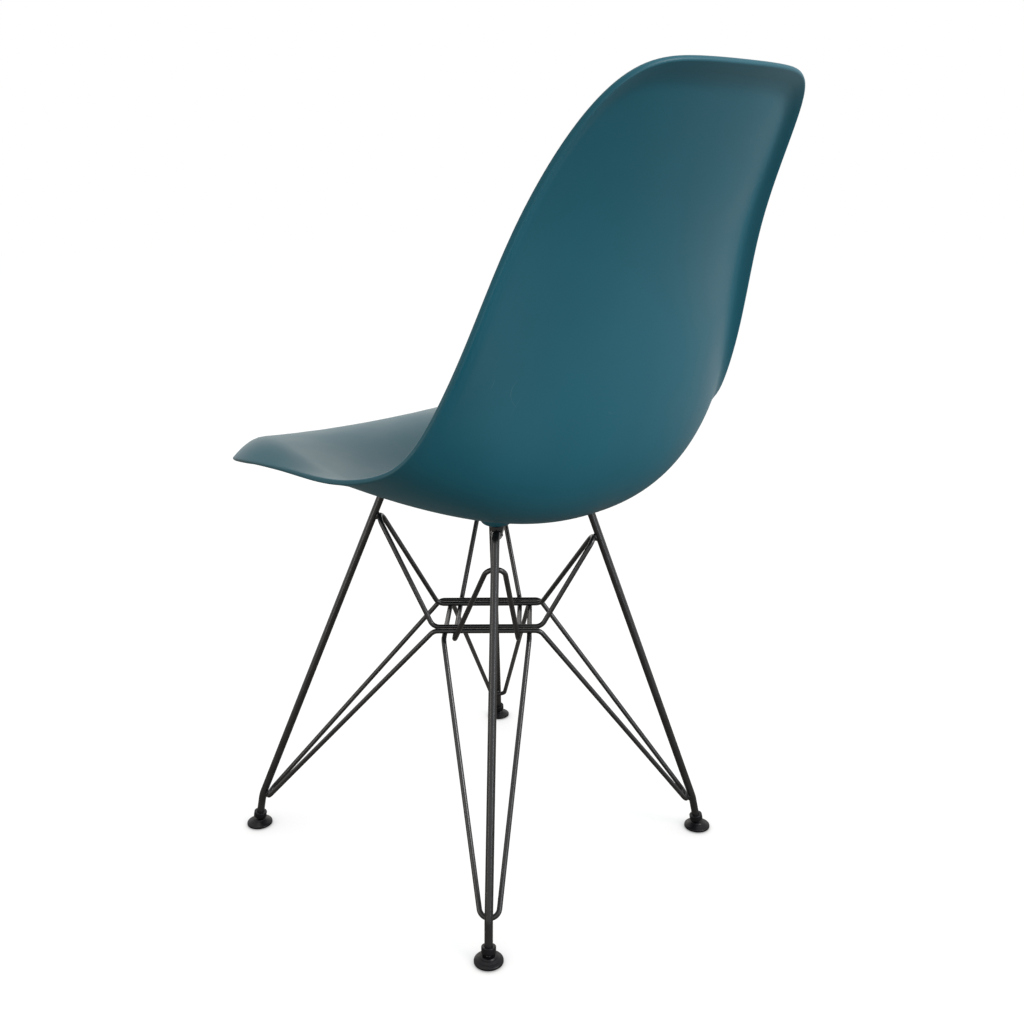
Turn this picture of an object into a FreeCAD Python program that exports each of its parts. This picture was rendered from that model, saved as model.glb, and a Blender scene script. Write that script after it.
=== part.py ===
import FreeCAD, Part
import math
import os

os.makedirs("parts", exist_ok=True)

V = FreeCAD.Vector
UP = V(0, 0, 1)

# A moulded plastic shell chair on a welded wire base. Millimetres, +Z up, floor at z = 0.
# The chair is the same left and right of the plane x = 0, and the sitter faces -Y.
# "left" is the sitter's left, which is +X.

# The shell's middle line, from the front lip over the seat to the top edge of the back.
# Each station gives y, z, half width, rise of the side wing and backward roll of the edge.
SHELL_STATIONS = [
    (-273, 411, 201, -3, 12),
    (-207, 447, 220, 8, 17),
    (-112, 459, 226, 22, 20),
    (-14, 430, 232, 51, 12),
    (104, 408, 233, 77, 5),
    (165, 420, 224, 86, 5),
    (202, 519, 202, 52, 10),
    (235, 684, 168, 24, 12),
    (304, 809, 150, 28, 11),
]
SHELL_WALL = 5.0
EDGE_ROLL_WIDTH_SEAT = 35.0
EDGE_ROLL_WIDTH_BACK = 21.0
WING_POWER_SEAT = 1.9
WING_POWER_BACK = 2.45
CORNER_SIDE_SEAT = 1.95
CORNER_SIDE_BACK = 6.9
CORNER_END_FRONT = 4.75
CORNER_END_TOP = 4.85
# The wings rise straight up from the seat and run straight forward from the back.
WING_ANGLE_SEAT = 91.0
WING_ANGLE_BACK = -8.0
WING_TURN_START = 0.24
WING_TURN_END = 1.03
# How far the drawn surfaces run past the trimmed edge, the length over which the roll
# dies out beyond it, and the spacing of the surfaces' points.
TRIM_MARGIN = 10.0
ROLL_RUNOUT = 20.0
SURFACE_STEP = 8.0
TRIM_POINTS = 72
SEWING_GAP = 0.05

# The four moulded bosses under the seat, on the left side. The right side is mirrored.
REAR_MOUNT_X = 57.0
REAR_MOUNT_Y = 80.0
FRONT_MOUNT_X = 64.8
FRONT_MOUNT_Y = -61.7
REAR_BOSS_DROP = 13.0
FRONT_BOSS_DROP = 22.0
BOSS_TIP_RADIUS = 6.0
BOSS_NECK = 1.5
BOSS_FLARE_RADIUS = 17.5
BOSS_FLARE_HEIGHT = 8.0
BOSS_BULGE = 1.9
BOSS_REACH = 30.0

# Fasteners at each boss.
SCREW_RADIUS = 3.0
SCREW_HEAD_RADIUS = 5.2
SCREW_HEAD_HEIGHT = 3.2
SCREW_RIM_HEIGHT = 1.3
SCREW_CROWN_RADIUS = 3.6
SCREW_LENGTH = 18.0
SCREW_SOCKET_RADIUS = 1.9
SCREW_SOCKET_DEPTH = 1.8
SCREW_CLEARANCE = 0.2
THREAD_CLEARANCE = 0.05
WASHER_RADIUS = 6.2
WASHER_THICKNESS = 1.2
INSERT_RADIUS = 4.4
INSERT_LENGTH = 9.0
PAD_RADIUS = 6.2
PAD_THICKNESS = 5.0

# The legs are 8.4 mm rod. Each is straight from a low bend to a bend under the seat.
# There it runs inward as a flattened, drilled end.
LEG_RADIUS = 4.2
REAR_FOOT_X = 166.5
REAR_FOOT_Y = 175.0
FRONT_FOOT_X = 195.0
FRONT_FOOT_Y = -196.5
LOW_BEND_HEIGHT = 40.0
LOW_BEND_INSET = 8.0
LOW_BEND_RADIUS = 45.0
TOP_BEND_RADIUS = 10.0
TOP_BEND_TO_MOUNT = 15.0
FLAT_THICKNESS = 4.6
FLAT_WIDTH = 12.0
FLAT_START = 7.5
SWAGE_LENGTH = 3.0
FLAT_BEYOND_MOUNT = 20.0

# Two wires under the seat join the flattened ends in pairs.
WIRE_RADIUS = 2.7
CROSS_WIRE_INSET = 16.0
CROSS_WIRE_OVERHANG = 4.0
WELD_SINK = 0.3

# The brace loops. Seen from above, their level bars cross as a square lattice at the waist.
WAIST_HEIGHT = 265.8
WAIST_Y = 2.0
UPPER_BAR_OFFSET = 34.0
LOWER_BAR_OFFSET = 45.5
UPPER_BAR_HALF = 58.5
LOWER_BAR_HALF = 57.0
BAR_BEND_RADIUS = 11.0
REAR_UPPER_WELD_DROP = 32.4
FRONT_UPPER_WELD_DROP = 38.4
LOOP_END_HALF = 8.8
LOOP_END_FULLNESS = 0.97

# The foot glides: a nylon sleeve with a ball, a cup that grips the ball, and a round shoe.
BALL_HEIGHT = 6.4
BALL_RADIUS = 3.4
BALL_NECK_RADIUS = 2.2
SLEEVE_RADIUS = 7.3
SLEEVE_BOTTOM = 4.2
SLEEVE_FLOOR = 1.2
SLEEVE_TOP = 11.0
SLEEVE_CHAMFER = 0.8
PRESS_CLEARANCE = 0.03
RUNNING_CLEARANCE = 0.05
CUP_RADIUS = 5.6
CUP_FLANGE_RADIUS = 6.6
CUP_FLANGE_HEIGHT = 1.9
CUP_TOP = 8.0
SHOE_RADIUS = 14.6
SHOE_EDGE_HEIGHT = 3.4
SHOE_EDGE_ROUND = 0.8
SHOE_CROWN_RADIUS = 8.5
SHOE_CROWN_HEIGHT = 6.6
SHOE_TOP_RADIUS = 6.6
SHOE_TOP_HEIGHT = 7.9
SOLE_RADIUS = 13.0
SOLE_THICKNESS = 1.0

CORNERS = {
    "front_left": (1, -1),
    "front_right": (-1, -1),
    "rear_left": (1, 1),
    "rear_right": (-1, 1),
}


def save(name, shape):
    """Write one piece, with the origin under the middle of the chair's depth."""
    shape.translate(V(0, -MIDDLE_DEPTH, 0))
    shape.exportStep("parts/" + name + ".step")


def smooth_step(value):
    value = min(1.0, max(0.0, value))
    return value * value * (3 - 2 * value)


def natural_spline(knots, values):
    """A smooth curve through the values, straight beyond both ends."""
    count = len(knots)
    gaps = [knots[i + 1] - knots[i] for i in range(count - 1)]
    slopes = [(values[i + 1] - values[i]) / gaps[i] for i in range(count - 1)]
    # Solve for the second derivatives, which are zero at both ends.
    factor = [0.0] * count
    bend = [0.0] * count
    for i in range(1, count - 1):
        pivot = 2 * (gaps[i - 1] + gaps[i]) - gaps[i - 1] * factor[i - 1]
        factor[i] = gaps[i] / pivot
        bend[i] = (6 * (slopes[i] - slopes[i - 1]) - gaps[i - 1] * bend[i - 1]) / pivot
    for i in range(count - 2, 0, -1):
        bend[i] -= factor[i] * bend[i + 1]

    def value(at):
        i = 0
        while i < count - 2 and at > knots[i + 1]:
            i += 1
        if at < knots[0]:
            start = slopes[0] - gaps[0] * bend[1] / 6
            return values[0] + start * (at - knots[0])
        if at > knots[-1]:
            end = slopes[-1] + gaps[-1] * bend[-2] / 6
            return values[-1] + end * (at - knots[-1])
        right = (at - knots[i]) / gaps[i]
        left = 1 - right
        curve = (left ** 3 - left) * bend[i] + (right ** 3 - right) * bend[i + 1]
        return left * values[i] + right * values[i + 1] + curve * gaps[i] ** 2 / 6

    return value


def station_distances():
    distances = [0.0]
    for before, after in zip(SHELL_STATIONS, SHELL_STATIONS[1:]):
        step = math.hypot(after[0] - before[0], after[1] - before[1])
        distances.append(distances[-1] + step)
    return distances


DISTANCES = station_distances()
SHELL_LENGTH = DISTANCES[-1]
middle_y = natural_spline(DISTANCES, [row[0] for row in SHELL_STATIONS])
middle_z = natural_spline(DISTANCES, [row[1] for row in SHELL_STATIONS])
half_width = natural_spline(DISTANCES, [row[2] for row in SHELL_STATIONS])
wing_rise = natural_spline(DISTANCES, [row[3] for row in SHELL_STATIONS])
edge_roll = natural_spline(DISTANCES, [row[4] for row in SHELL_STATIONS])


def blend(seat, back, along):
    share = smooth_step(along / SHELL_LENGTH)
    return seat + (back - seat) * share


def outline_level(along, across):
    """One on the shell's edge, less inside it: a rounded box in distance along and across."""
    middle = 2 * along / SHELL_LENGTH - 1
    end_power = CORNER_END_FRONT if middle < 0 else CORNER_END_TOP
    side_power = blend(CORNER_SIDE_SEAT, CORNER_SIDE_BACK, along)
    return (abs(across) / half_width(along)) ** side_power + abs(middle) ** end_power


def edge_distance(along, across):
    """About how far a point is inside the shell's edge."""
    probe = 0.5
    level = outline_level(along, across)
    rise_along = outline_level(along + probe, across) - outline_level(along - probe, across)
    rise_across = outline_level(along, across + probe) - outline_level(along, across - probe)
    slope = math.hypot(rise_along, rise_across) / (2 * probe)
    return (1 - level) / max(slope, 1e-6)


def outer_point(along, across):
    """A point of the shell's outer face: the underside of the seat and the rear of the back."""
    share = abs(across) / half_width(along)
    rise = wing_rise(along) * share ** blend(WING_POWER_SEAT, WING_POWER_BACK, along)
    inside = edge_distance(along, across)
    if inside < 0:
        inside = ROLL_RUNOUT * (math.exp(inside / ROLL_RUNOUT) - 1)
    roll_width = blend(EDGE_ROLL_WIDTH_SEAT, EDGE_ROLL_WIDTH_BACK, along)
    roll = edge_roll(along) * max(0.0, 1 - inside / roll_width) ** 2
    turn = (along / SHELL_LENGTH - WING_TURN_START) / (WING_TURN_END - WING_TURN_START)
    angle = WING_ANGLE_SEAT + (WING_ANGLE_BACK - WING_ANGLE_SEAT) * smooth_step(turn)
    lift = rise - roll
    y = middle_y(along) - lift * math.cos(math.radians(angle))
    z = middle_z(along) + lift * math.sin(math.radians(angle))
    return V(across, y, z)


def inner_point(along, across):
    """The point of the sitter's face that is one wall away from the outer face."""
    probe = 1.0
    step_along = outer_point(along + probe, across) - outer_point(along - probe, across)
    step_across = outer_point(along, across + probe) - outer_point(along, across - probe)
    normal = step_across.cross(step_along)
    normal.normalize()
    return outer_point(along, across) + normal * SHELL_WALL


def outline():
    """Evenly spaced points around the shell's edge, as distance along and across."""
    side = []
    fine = 400
    for i in range(fine + 1):
        middle = math.sin(math.pi * (i / fine - 0.5))
        along = SHELL_LENGTH * (middle + 1) / 2
        end_power = CORNER_END_FRONT if middle < 0 else CORNER_END_TOP
        side_power = blend(CORNER_SIDE_SEAT, CORNER_SIDE_BACK, along)
        share = max(0.0, 1 - abs(middle) ** end_power) ** (1 / side_power)
        side.append((along, half_width(along) * share))
    loop = side + [(along, -across) for along, across in reversed(side[1:-1])]
    lengths = [0.0]
    for i in range(len(loop)):
        before = loop[i]
        after = loop[(i + 1) % len(loop)]
        lengths.append(lengths[-1] + math.hypot(after[0] - before[0], after[1] - before[1]))
    points = []
    i = 0
    for k in range(TRIM_POINTS):
        target = lengths[-1] * k / TRIM_POINTS
        while lengths[i + 1] < target:
            i += 1
        share = (target - lengths[i]) / (lengths[i + 1] - lengths[i])
        before = loop[i]
        after = loop[(i + 1) % len(loop)]
        points.append([before[j] + (after[j] - before[j]) * share for j in (0, 1)])
    return points


def middle_depth():
    """Halfway between the front lip and the top edge of the back."""
    places = outline()
    depths = [outer_point(along, across).y for along, across in places]
    depths += [inner_point(along, across).y for along, across in places]
    return (min(depths) + max(depths)) / 2


def drawn_surface(point):
    widest = max(row[2] for row in SHELL_STATIONS) + TRIM_MARGIN
    rows = math.ceil((SHELL_LENGTH + 2 * TRIM_MARGIN) / SURFACE_STEP)
    columns = 2 * math.ceil(widest / SURFACE_STEP)
    grid = []
    for i in range(rows + 1):
        along = -TRIM_MARGIN + (SHELL_LENGTH + 2 * TRIM_MARGIN) * i / rows
        grid.append([point(along, widest * (2 * j / columns - 1)) for j in range(columns + 1)])
    surface = Part.BSplineSurface()
    surface.interpolate(grid)
    return surface


def trimmed_edge(surface, point, places):
    marks = []
    for along, across in places:
        u, v = surface.parameter(point(along, across))
        marks.append(FreeCAD.Base.Vector2d(u, v))
    curve = Part.Geom2d.BSplineCurve2d()
    curve.interpolate(Points=marks, PeriodicFlag=True)
    return curve.toShape(surface)


def shell_skin():
    places = outline()
    outer = drawn_surface(outer_point)
    inner = drawn_surface(inner_point)
    outer_edge = trimmed_edge(outer, outer_point, places)
    inner_edge = trimmed_edge(inner, inner_point, places)
    faces = [Part.Face(outer, Part.Wire([outer_edge])), Part.Face(inner, Part.Wire([inner_edge]))]
    faces.append(Part.makeRuledSurface(outer_edge, inner_edge))
    skin = Part.Shell(faces)
    skin.sewShape(SEWING_GAP)
    solid = Part.Solid(Part.Shell(skin.Faces))
    if solid.Volume < 0:
        solid.reverse()
    return solid, inner


def mount_place(corner):
    side, end = CORNERS[corner]
    if end > 0:
        return side * REAR_MOUNT_X, REAR_MOUNT_Y
    return side * FRONT_MOUNT_X, FRONT_MOUNT_Y


def underside_height(x, y):
    """Height of the seat's underside straight above a place on the floor."""
    low = 0.0
    high = SHELL_LENGTH / 2
    for _ in range(40):
        along = (low + high) / 2
        if outer_point(along, x).y < y:
            low = along
        else:
            high = along
    return outer_point(low, x).z


def boss_tip(corner):
    x, y = mount_place(corner)
    drop = REAR_BOSS_DROP if CORNERS[corner][1] > 0 else FRONT_BOSS_DROP
    return V(x, y, underside_height(x, y) - drop)


def revolved(points, place, axis=UP):
    """Turn an outline of (radius, height) points about an axis through a place."""
    wire = Part.makePolygon([V(r, 0, h) for r, h in points] + [V(points[0][0], 0, points[0][1])])
    return placed(Part.Face(wire).revolve(V(0, 0, 0), UP, 360), place, axis)


def placed(shape, place, axis=UP):
    shape.Placement = FreeCAD.Placement(place, FreeCAD.Rotation(UP, axis))
    return shape


def boss(corner):
    """A shallow dished cone with a short neck, up into the shell wall."""
    drop = REAR_BOSS_DROP if CORNERS[corner][1] > 0 else FRONT_BOSS_DROP
    top = drop + BOSS_REACH
    start = V(BOSS_TIP_RADIUS, 0, BOSS_NECK)
    end = V(BOSS_FLARE_RADIUS, 0, BOSS_NECK + BOSS_FLARE_HEIGHT)
    outward_side = (end - start).cross(V(0, -1, 0)).normalize()
    middle = (start + end) / 2 + outward_side * BOSS_BULGE
    edges = [
        Part.makeLine(V(0, 0, 0), V(BOSS_TIP_RADIUS, 0, 0)),
        Part.makeLine(V(BOSS_TIP_RADIUS, 0, 0), start),
        Part.Arc(start, middle, end).toShape(),
        Part.makeLine(end, V(BOSS_FLARE_RADIUS, 0, top)),
        Part.makeLine(V(BOSS_FLARE_RADIUS, 0, top), V(0, 0, top)),
        Part.makeLine(V(0, 0, top), V(0, 0, 0)),
    ]
    shape = Part.Face(Part.Wire(edges)).revolve(V(0, 0, 0), UP, 360)
    return placed(shape, boss_tip(corner))


def above_the_seat(inner):
    """Everything above the sitter's face near the bosses, to keep the seat smooth."""
    reach = max(REAR_MOUNT_X, FRONT_MOUNT_X) + 2 * BOSS_FLARE_RADIUS
    front = FRONT_MOUNT_Y - 2 * BOSS_FLARE_RADIUS
    rear = REAR_MOUNT_Y + 2 * BOSS_FLARE_RADIUS
    along = [0.0, SHELL_LENGTH / 2]
    while middle_y(along[0]) < front:
        along[0] += 1
    while middle_y(along[1]) > rear:
        along[1] -= 1
    u0, v0 = inner.parameter(inner_point(along[0], -reach))
    u1, v1 = inner.parameter(inner_point(along[1], reach))
    patch = inner.toShape(min(u0, u1), max(u0, u1), min(v0, v1), max(v0, v1))
    return patch.extrude(UP * 2 * BOSS_REACH)


def shell():
    skin, inner = shell_skin()
    cover = above_the_seat(inner)
    bosses = [boss(corner).cut(cover) for corner in CORNERS]
    body = skin.fuse(bosses)
    holes = []
    for corner in CORNERS:
        holes.append(placed(Part.makeCylinder(INSERT_RADIUS, INSERT_LENGTH), boss_tip(corner)))
    return body.cut(Part.makeCompound(holes)).removeSplitter()


def threaded_insert(corner):
    bore = SCREW_RADIUS + THREAD_CLEARANCE
    points = [(bore, 0), (INSERT_RADIUS, 0), (INSERT_RADIUS, INSERT_LENGTH), (bore, INSERT_LENGTH)]
    return revolved(points, boss_tip(corner))


def pad(corner):
    bore = SCREW_RADIUS + SCREW_CLEARANCE
    points = [(bore, 0), (PAD_RADIUS, 0), (PAD_RADIUS, PAD_THICKNESS), (bore, PAD_THICKNESS)]
    return revolved(points, boss_tip(corner) - UP * PAD_THICKNESS)


def flat_middle(corner):
    """The middle of the flattened rod end, under the pad."""
    return boss_tip(corner) - UP * (PAD_THICKNESS + FLAT_THICKNESS / 2)


def washer(corner):
    bore = SCREW_RADIUS + SCREW_CLEARANCE
    thick = WASHER_THICKNESS
    points = [(bore, 0), (WASHER_RADIUS, 0), (WASHER_RADIUS, thick), (bore, thick)]
    return revolved(points, flat_middle(corner) - UP * (FLAT_THICKNESS / 2 + thick))


def screw(corner):
    """A button-head socket screw, driven up from below."""
    seat = flat_middle(corner) - UP * (FLAT_THICKNESS / 2 + WASHER_THICKNESS)
    head = revolved(
        [
            (0, 0),
            (SCREW_RADIUS, 0),
            (SCREW_HEAD_RADIUS, 0),
            (SCREW_HEAD_RADIUS, -SCREW_RIM_HEIGHT),
            (SCREW_CROWN_RADIUS, -SCREW_HEAD_HEIGHT),
            (0, -SCREW_HEAD_HEIGHT),
        ],
        seat,
    )
    shank = placed(Part.makeCylinder(SCREW_RADIUS, SCREW_LENGTH), seat)
    corners = []
    for i in range(7):
        turn = math.radians(60 * i)
        corners.append(V(SCREW_SOCKET_RADIUS * math.cos(turn), SCREW_SOCKET_RADIUS * math.sin(turn), 0))
    socket = Part.Face(Part.makePolygon(corners)).extrude(UP * SCREW_SOCKET_DEPTH)
    return head.fuse(shank).cut(placed(socket, seat - UP * SCREW_HEAD_HEIGHT)).removeSplitter()


def foot_place(corner):
    side, end = CORNERS[corner]
    if end > 0:
        return V(side * REAR_FOOT_X, REAR_FOOT_Y, 0)
    return V(side * FRONT_FOOT_X, FRONT_FOOT_Y, 0)


def outward(corner):
    """Level direction from the mount to the foot."""
    direction = foot_place(corner) - V(*mount_place(corner), 0)
    return direction.normalize()


def low_bend(corner):
    return foot_place(corner) - outward(corner) * LOW_BEND_INSET + UP * LOW_BEND_HEIGHT


def top_bend(corner):
    return flat_middle(corner) + outward(corner) * TOP_BEND_TO_MOUNT


def foot_axis(corner):
    direction = low_bend(corner) - foot_place(corner)
    return direction.normalize()


def leg_axis(corner):
    direction = top_bend(corner) - low_bend(corner)
    return direction.normalize()


def ball_centre(corner):
    axis = foot_axis(corner)
    return foot_place(corner) + axis * (BALL_HEIGHT / axis.z)


def rounded_path(corners, radii, closed):
    """Straight runs joined by tangent arcs, one radius for each corner."""
    count = len(corners)
    edges = []
    starts = []
    ends = []
    arcs = []
    for i in range(count):
        corner = corners[i]
        if not closed and i in (0, count - 1):
            starts.append(corner)
            ends.append(corner)
            arcs.append(None)
            continue
        back = (corners[i - 1] - corner).normalize()
        ahead = (corners[(i + 1) % count] - corner).normalize()
        half = back.getAngle(ahead) / 2
        reach = radii[i] / math.tan(half)
        bisector = (back + ahead).normalize()
        centre = corner + bisector * (radii[i] / math.sin(half))
        start = corner + back * reach
        end = corner + ahead * reach
        starts.append(start)
        ends.append(end)
        arcs.append(Part.Arc(start, centre - bisector * radii[i], end).toShape())
    last = count if closed else count - 1
    for i in range(last):
        after = (i + 1) % count
        edges.append(Part.makeLine(ends[i], starts[after]))
        if arcs[after] is not None:
            edges.append(arcs[after])
    return edges


def round_bar(edges, radius):
    """Round rod bent along a path: a cylinder for each run and a ring piece for each bend."""
    pieces = []
    for edge in edges:
        start = edge.valueAt(edge.FirstParameter)
        along = edge.tangentAt(edge.FirstParameter)
        disc = Part.Face(Part.Wire([Part.makeCircle(radius, start, along)]))
        if isinstance(edge.Curve, Part.Circle):
            angle = math.degrees(edge.Length / edge.Curve.Radius)
            pieces.append(disc.revolve(edge.Curve.Center, edge.Curve.Axis, angle))
        else:
            pieces.append(disc.extrude(along * edge.Length))
    return pieces[0].fuse(pieces[1:]).removeSplitter()


def leg_path(corner):
    axis = foot_axis(corner)
    start = ball_centre(corner) + axis * (SLEEVE_BOTTOM + SLEEVE_FLOOR)
    top = top_bend(corner)
    end = top - outward(corner) * FLAT_START
    return rounded_path(
        [start, low_bend(corner), top, end],
        [0, LOW_BEND_RADIUS, TOP_BEND_RADIUS, 0],
        False,
    )


def flattened_end(corner):
    """The drilled flat with a round tip, and the swaged run from the round rod to it."""
    inward = outward(corner) * -1
    across = UP.cross(inward)
    middle = flat_middle(corner)
    start = top_bend(corner) + inward * FLAT_START
    begin = start + inward * SWAGE_LENGTH
    half = FLAT_WIDTH / 2
    tip = middle + inward * (FLAT_BEYOND_MOUNT - half)
    side_way = across * half
    low = UP * (-FLAT_THICKNESS / 2)
    edges = [
        Part.makeLine(begin - side_way + low, tip - side_way + low),
        Part.Arc(tip - side_way + low, tip + inward * half + low, tip + side_way + low).toShape(),
        Part.makeLine(tip + side_way + low, begin + side_way + low),
        Part.makeLine(begin + side_way + low, begin - side_way + low),
    ]
    bar = Part.Face(Part.Wire(edges)).extrude(UP * FLAT_THICKNESS)
    round_end = Part.Wire([Part.makeCircle(LEG_RADIUS, start, inward)])
    side = half - FLAT_THICKNESS / 2
    top_left = begin + across * side - low
    top_right = begin - across * side - low
    low_left = begin + across * side + low
    low_right = begin - across * side + low
    flat_end = Part.Wire(
        [
            Part.makeLine(top_left, top_right),
            Part.Arc(top_right, begin - across * half, low_right).toShape(),
            Part.makeLine(low_right, low_left),
            Part.Arc(low_left, begin + across * half, top_left).toShape(),
        ]
    )
    swage = Part.makeLoft([round_end, flat_end], True)
    drill = SCREW_RADIUS + SCREW_CLEARANCE
    hole = Part.makeCylinder(drill, 4 * FLAT_THICKNESS, middle - UP * 2 * FLAT_THICKNESS)
    return bar.fuse(swage).cut(hole)


def leg(corner):
    return round_bar(leg_path(corner), LEG_RADIUS).fuse(flattened_end(corner))


def cross_wire(end):
    """A straight wire welded across the flattened ends of a left and a right leg."""
    corner = "rear_left" if end > 0 else "front_left"
    place = flat_middle(corner) - outward(corner) * CROSS_WIRE_INSET
    height = place.z + FLAT_THICKNESS / 2 + WIRE_RADIUS - WELD_SINK
    half = place.x + FLAT_WIDTH / 2 + CROSS_WIRE_OVERHANG
    return Part.makeCylinder(WIRE_RADIUS, 2 * half, V(-half, place.y, height), V(1, 0, 0))


def leg_point(corner, height):
    """Where the straight part of a leg passes a height."""
    start = low_bend(corner)
    axis = leg_axis(corner)
    return start + axis * ((height - start.z) / axis.z)


def weld_point(corner, height):
    """Middle of a loop's end, welded to the inner side of the leg."""
    gap = (LEG_RADIUS + WIRE_RADIUS - WELD_SINK) / leg_axis(corner).z
    return leg_point(corner, height) - outward(corner) * gap


def brace_loop(first, second, upper, height):
    """A closed wire loop between two opposite legs, level in the middle and bent to both legs."""
    side, end = CORNERS[second]
    along = V(side, end, 0).normalize()
    across = UP.cross(along)
    offset = UPPER_BAR_OFFSET if upper else LOWER_BAR_OFFSET
    half = UPPER_BAR_HALF if upper else LOWER_BAR_HALF
    centre = V(0, WAIST_Y, height)
    ends = []
    for corner in (first, second):
        if upper:
            drop = REAR_UPPER_WELD_DROP if CORNERS[corner][1] > 0 else FRONT_UPPER_WELD_DROP
            weld_height = flat_middle(corner).z - drop
        else:
            weld_height = LOW_BEND_HEIGHT
        ends.append(weld_point(corner, weld_height))
    corners = [
        ends[0] + across * LOOP_END_HALF,
        centre - along * half + across * offset,
        centre + along * half + across * offset,
        ends[1] + across * LOOP_END_HALF,
        ends[1] - across * LOOP_END_HALF,
        centre + along * half - across * offset,
        centre - along * half - across * offset,
        ends[0] - across * LOOP_END_HALF,
    ]
    radii = []
    for i in range(8):
        if i in (0, 3, 4, 7):
            back = corners[i - 1] - corners[i]
            ahead = corners[(i + 1) % 8] - corners[i]
            half_angle = back.getAngle(ahead) / 2
            radii.append(LOOP_END_FULLNESS * LOOP_END_HALF * math.tan(half_angle))
        else:
            radii.append(BAR_BEND_RADIUS)
    return round_bar(rounded_path(corners, radii, True), WIRE_RADIUS)


def turned(edges, place, axis=UP):
    return placed(Part.Face(Part.Wire(edges)).revolve(V(0, 0, 0), UP, 360), place, axis)


def line_chain(points):
    return [Part.makeLine(V(a[0], 0, a[1]), V(b[0], 0, b[1])) for a, b in zip(points, points[1:])]


def glide_sleeve(corner):
    """Nylon sleeve on the rod's end, with a neck and a ball below."""
    neck_height = math.sqrt(BALL_RADIUS ** 2 - BALL_NECK_RADIUS ** 2)
    bore = LEG_RADIUS + PRESS_CLEARANCE
    floor = SLEEVE_BOTTOM + SLEEVE_FLOOR
    neck = V(BALL_NECK_RADIUS, 0, neck_height)
    ball = Part.Arc(V(0, 0, -BALL_RADIUS), V(BALL_RADIUS, 0, 0), neck).toShape()
    edges = [ball] + line_chain(
        [
            (BALL_NECK_RADIUS, neck_height),
            (BALL_NECK_RADIUS, SLEEVE_BOTTOM),
            (SLEEVE_RADIUS - SLEEVE_CHAMFER, SLEEVE_BOTTOM),
            (SLEEVE_RADIUS, SLEEVE_BOTTOM + SLEEVE_CHAMFER),
            (SLEEVE_RADIUS, SLEEVE_TOP - SLEEVE_CHAMFER),
            (SLEEVE_RADIUS - SLEEVE_CHAMFER, SLEEVE_TOP),
            (bore, SLEEVE_TOP),
            (bore, floor),
            (0, floor),
            (0, -BALL_RADIUS),
        ]
    )
    return turned(edges, ball_centre(corner), foot_axis(corner))


def level_foot(corner):
    """The floor point straight below the ball."""
    centre = ball_centre(corner)
    return V(centre.x, centre.y, 0)


def glide_cup(corner):
    """The cup that snaps over the ball. It tilts with the shoe and the shoe spins on it."""
    bottom = SOLE_THICKNESS + RUNNING_CLEARANCE
    hollow = BALL_RADIUS + RUNNING_CLEARANCE
    mouth = math.sqrt(hollow ** 2 - (CUP_TOP - BALL_HEIGHT) ** 2)
    flange_top = bottom + CUP_FLANGE_HEIGHT
    edges = line_chain(
        [
            (0, BALL_HEIGHT - hollow),
            (0, bottom),
            (CUP_FLANGE_RADIUS, bottom),
            (CUP_FLANGE_RADIUS, flange_top),
            (CUP_RADIUS, flange_top),
            (CUP_RADIUS, CUP_TOP),
            (mouth, CUP_TOP),
        ]
    )
    lip = V(mouth, 0, CUP_TOP)
    lowest = V(0, 0, BALL_HEIGHT - hollow)
    ball = Part.Arc(lip, V(hollow, 0, BALL_HEIGHT), lowest).toShape()
    return turned(edges + [ball], level_foot(corner))


def glide_shoe(corner):
    """The round shoe that stands on the floor, bored for the cup."""
    bore = CUP_RADIUS + RUNNING_CLEARANCE
    pocket = CUP_FLANGE_RADIUS + RUNNING_CLEARANCE
    shoulder = SOLE_THICKNESS + CUP_FLANGE_HEIGHT + 2 * RUNNING_CLEARANCE
    edges = line_chain(
        [
            (pocket, SOLE_THICKNESS),
            (SHOE_RADIUS, SOLE_THICKNESS),
            (SHOE_RADIUS, SHOE_EDGE_HEIGHT - SHOE_EDGE_ROUND),
            (SHOE_RADIUS - SHOE_EDGE_ROUND, SHOE_EDGE_HEIGHT),
            (SHOE_CROWN_RADIUS, SHOE_CROWN_HEIGHT),
            (SHOE_TOP_RADIUS, SHOE_TOP_HEIGHT),
            (bore, SHOE_TOP_HEIGHT),
            (bore, shoulder),
            (pocket, shoulder),
            (pocket, SOLE_THICKNESS),
        ]
    )
    return turned(edges, level_foot(corner))


def glide_sole(corner):
    return placed(Part.makeCylinder(SOLE_RADIUS, SOLE_THICKNESS), level_foot(corner))


def save_pair(name, end, make):
    """A piece of a left corner and its mirror image on the right."""
    left = make(end + "_left")
    right = left.mirror(V(0, 0, 0), V(1, 0, 0))
    save(name + "_" + end + "_left", left)
    save(name + "_" + end + "_right", right)


MIDDLE_DEPTH = middle_depth()
save("shell", shell())
for front_or_rear in ("front", "rear"):
    save_pair("threaded_insert", front_or_rear, threaded_insert)
    save_pair("rubber_pad", front_or_rear, pad)
    save_pair("washer", front_or_rear, washer)
    save_pair("screw", front_or_rear, screw)
    save_pair("leg", front_or_rear, leg)
    save_pair("glide_sleeve", front_or_rear, glide_sleeve)
    save_pair("glide_cup", front_or_rear, glide_cup)
    save_pair("glide_shoe", front_or_rear, glide_shoe)
    save_pair("glide_sole", front_or_rear, glide_sole)
save("cross_wire_front", cross_wire(-1))
save("cross_wire_rear", cross_wire(1))

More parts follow.
